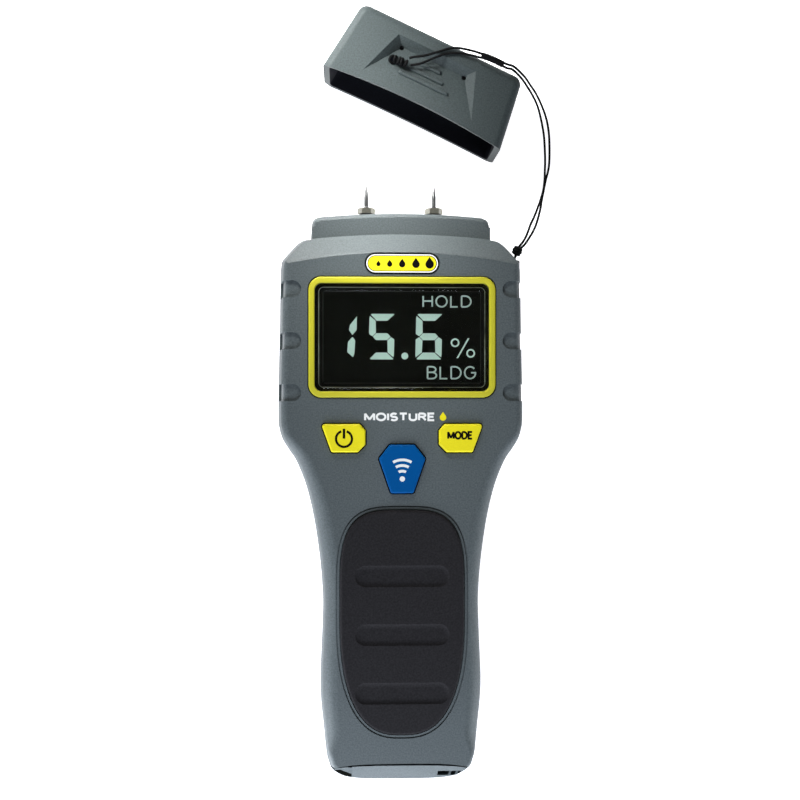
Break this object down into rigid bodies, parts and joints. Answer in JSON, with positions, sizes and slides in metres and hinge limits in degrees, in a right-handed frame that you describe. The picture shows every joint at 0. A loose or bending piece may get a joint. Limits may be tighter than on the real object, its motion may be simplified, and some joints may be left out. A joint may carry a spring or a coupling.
{
  "type": "moisture meter",
  "caption": "Hand-held pin moisture meter with display, three keys, rubber grip inlay, battery bay and a corded pin cap.",
  "frame": {"origin": "on the back face, on the centre line, half way along the case", "axes": "+Z out of the display, +Y towards the pins, +X to the right of the display"},
  "size_m": [0.0935, 0.255, 0.0372],
  "materials": {
    "case_plastic": "fine textured grey",
    "cap_plastic": "fine textured dark grey",
    "yellow_plastic": "satin",
    "blue_plastic": "satin",
    "black_rubber": "soft touch",
    "black_plastic": "moulded",
    "white_plastic": "moulded",
    "clear_window": "polished",
    "display_glass": "dark, with light segments",
    "board_green": "solder mask",
    "steel": "ground",
    "brass": "dull",
    "battery_can": "printed can",
    "red_lead": "insulation",
    "black_cord": "braided",
    "label_silver": "satin film"
  },
  "bodies": {
    "meter": {"battery_9v": "battery_can", "battery_lead_black": "black_plastic", "battery_lead_red": "red_lead", "battery_snap": "black_plastic", "battery_terminal_negative": "steel", "battery_terminal_positive": "steel", "buzzer": "black_plastic", "case_screw_1": "steel", "case_screw_2": "steel", "case_screw_3": "steel", "case_screw_4": "steel", "circuit_board": "board_green", "controller_chip": "black_plastic", "display_bezel": "yellow_plastic", "display_window": "clear_window", "front_housing": "case_plastic", "grip_pad": "black_rubber", "lanyard_anchor": "black_plastic", "lcd_backlight": "white_plastic", "lcd_holder": "white_plastic", "lcd_panel": "display_glass", "link_switch": "black_plastic", "mode_switch": "black_plastic", "name_badge": "yellow_plastic", "pin_carrier": "black_plastic", "pin_nut_left": "brass", "pin_nut_right": "brass", "pin_socket_left": "brass", "pin_socket_right": "brass", "power_switch": "black_plastic", "probe_pin_left": "steel", "probe_pin_right": "steel", "rear_housing": "case_plastic", "rear_label": "label_silver", "sensor_lead_left": "red_lead", "sensor_lead_right": "black_plastic", "wireless_module": "label_silver", "zebra_strip": "black_rubber"},
    "power_key": {"power_key": "yellow_plastic"},
    "mode_key": {"mode_key": "yellow_plastic"},
    "link_key": {"link_key": "blue_plastic"},
    "battery_door": {"battery_door": "case_plastic"},
    "lanyard": {"cord_bead": "black_cord", "cord_knot": "black_cord", "cord_sleeve": "black_cord", "cord_strand_inner": "black_cord", "cord_strand_outer": "black_cord", "cord_tail": "black_cord", "cord_upper_inner": "black_cord", "cord_upper_outer": "black_cord"},
    "cap": {"cap_shell": "cap_plastic", "test_board": "board_green", "test_contact_left": "brass", "test_contact_right": "brass", "test_resistor": "black_plastic"}
  },
  "joints": [
    {"name": "power_key_press", "type": "slide", "parent": "meter", "child": "power_key", "axis": [0, 0, -1], "range_m": [0, 0.0008], "stiffness_N_per_m": 900},
    {"name": "mode_key_press", "type": "slide", "parent": "meter", "child": "mode_key", "axis": [0, 0, -1], "range_m": [0, 0.0008], "stiffness_N_per_m": 900},
    {"name": "link_key_press", "type": "slide", "parent": "meter", "child": "link_key", "axis": [0, 0, -1], "range_m": [0, 0.0008], "stiffness_N_per_m": 900},
    {"name": "battery_door_slide", "type": "slide", "parent": "meter", "child": "battery_door", "axis": [0, -1, 0], "range_m": [0, 0.065]},
    {"name": "tether_swing", "type": "hinge", "parent": "meter", "child": "lanyard", "pos_m": [0.0381, 0.0791, 0.018], "axis": [0, 0, 1], "range_deg": [-40, 10]},
    {"name": "cap_swivel", "type": "hinge", "parent": "lanyard", "child": "cap", "pos_m": [-0.0028, 0.1435, 0.028], "axis": [0, 0, 1], "range_deg": [-20, 0]}
  ]
}
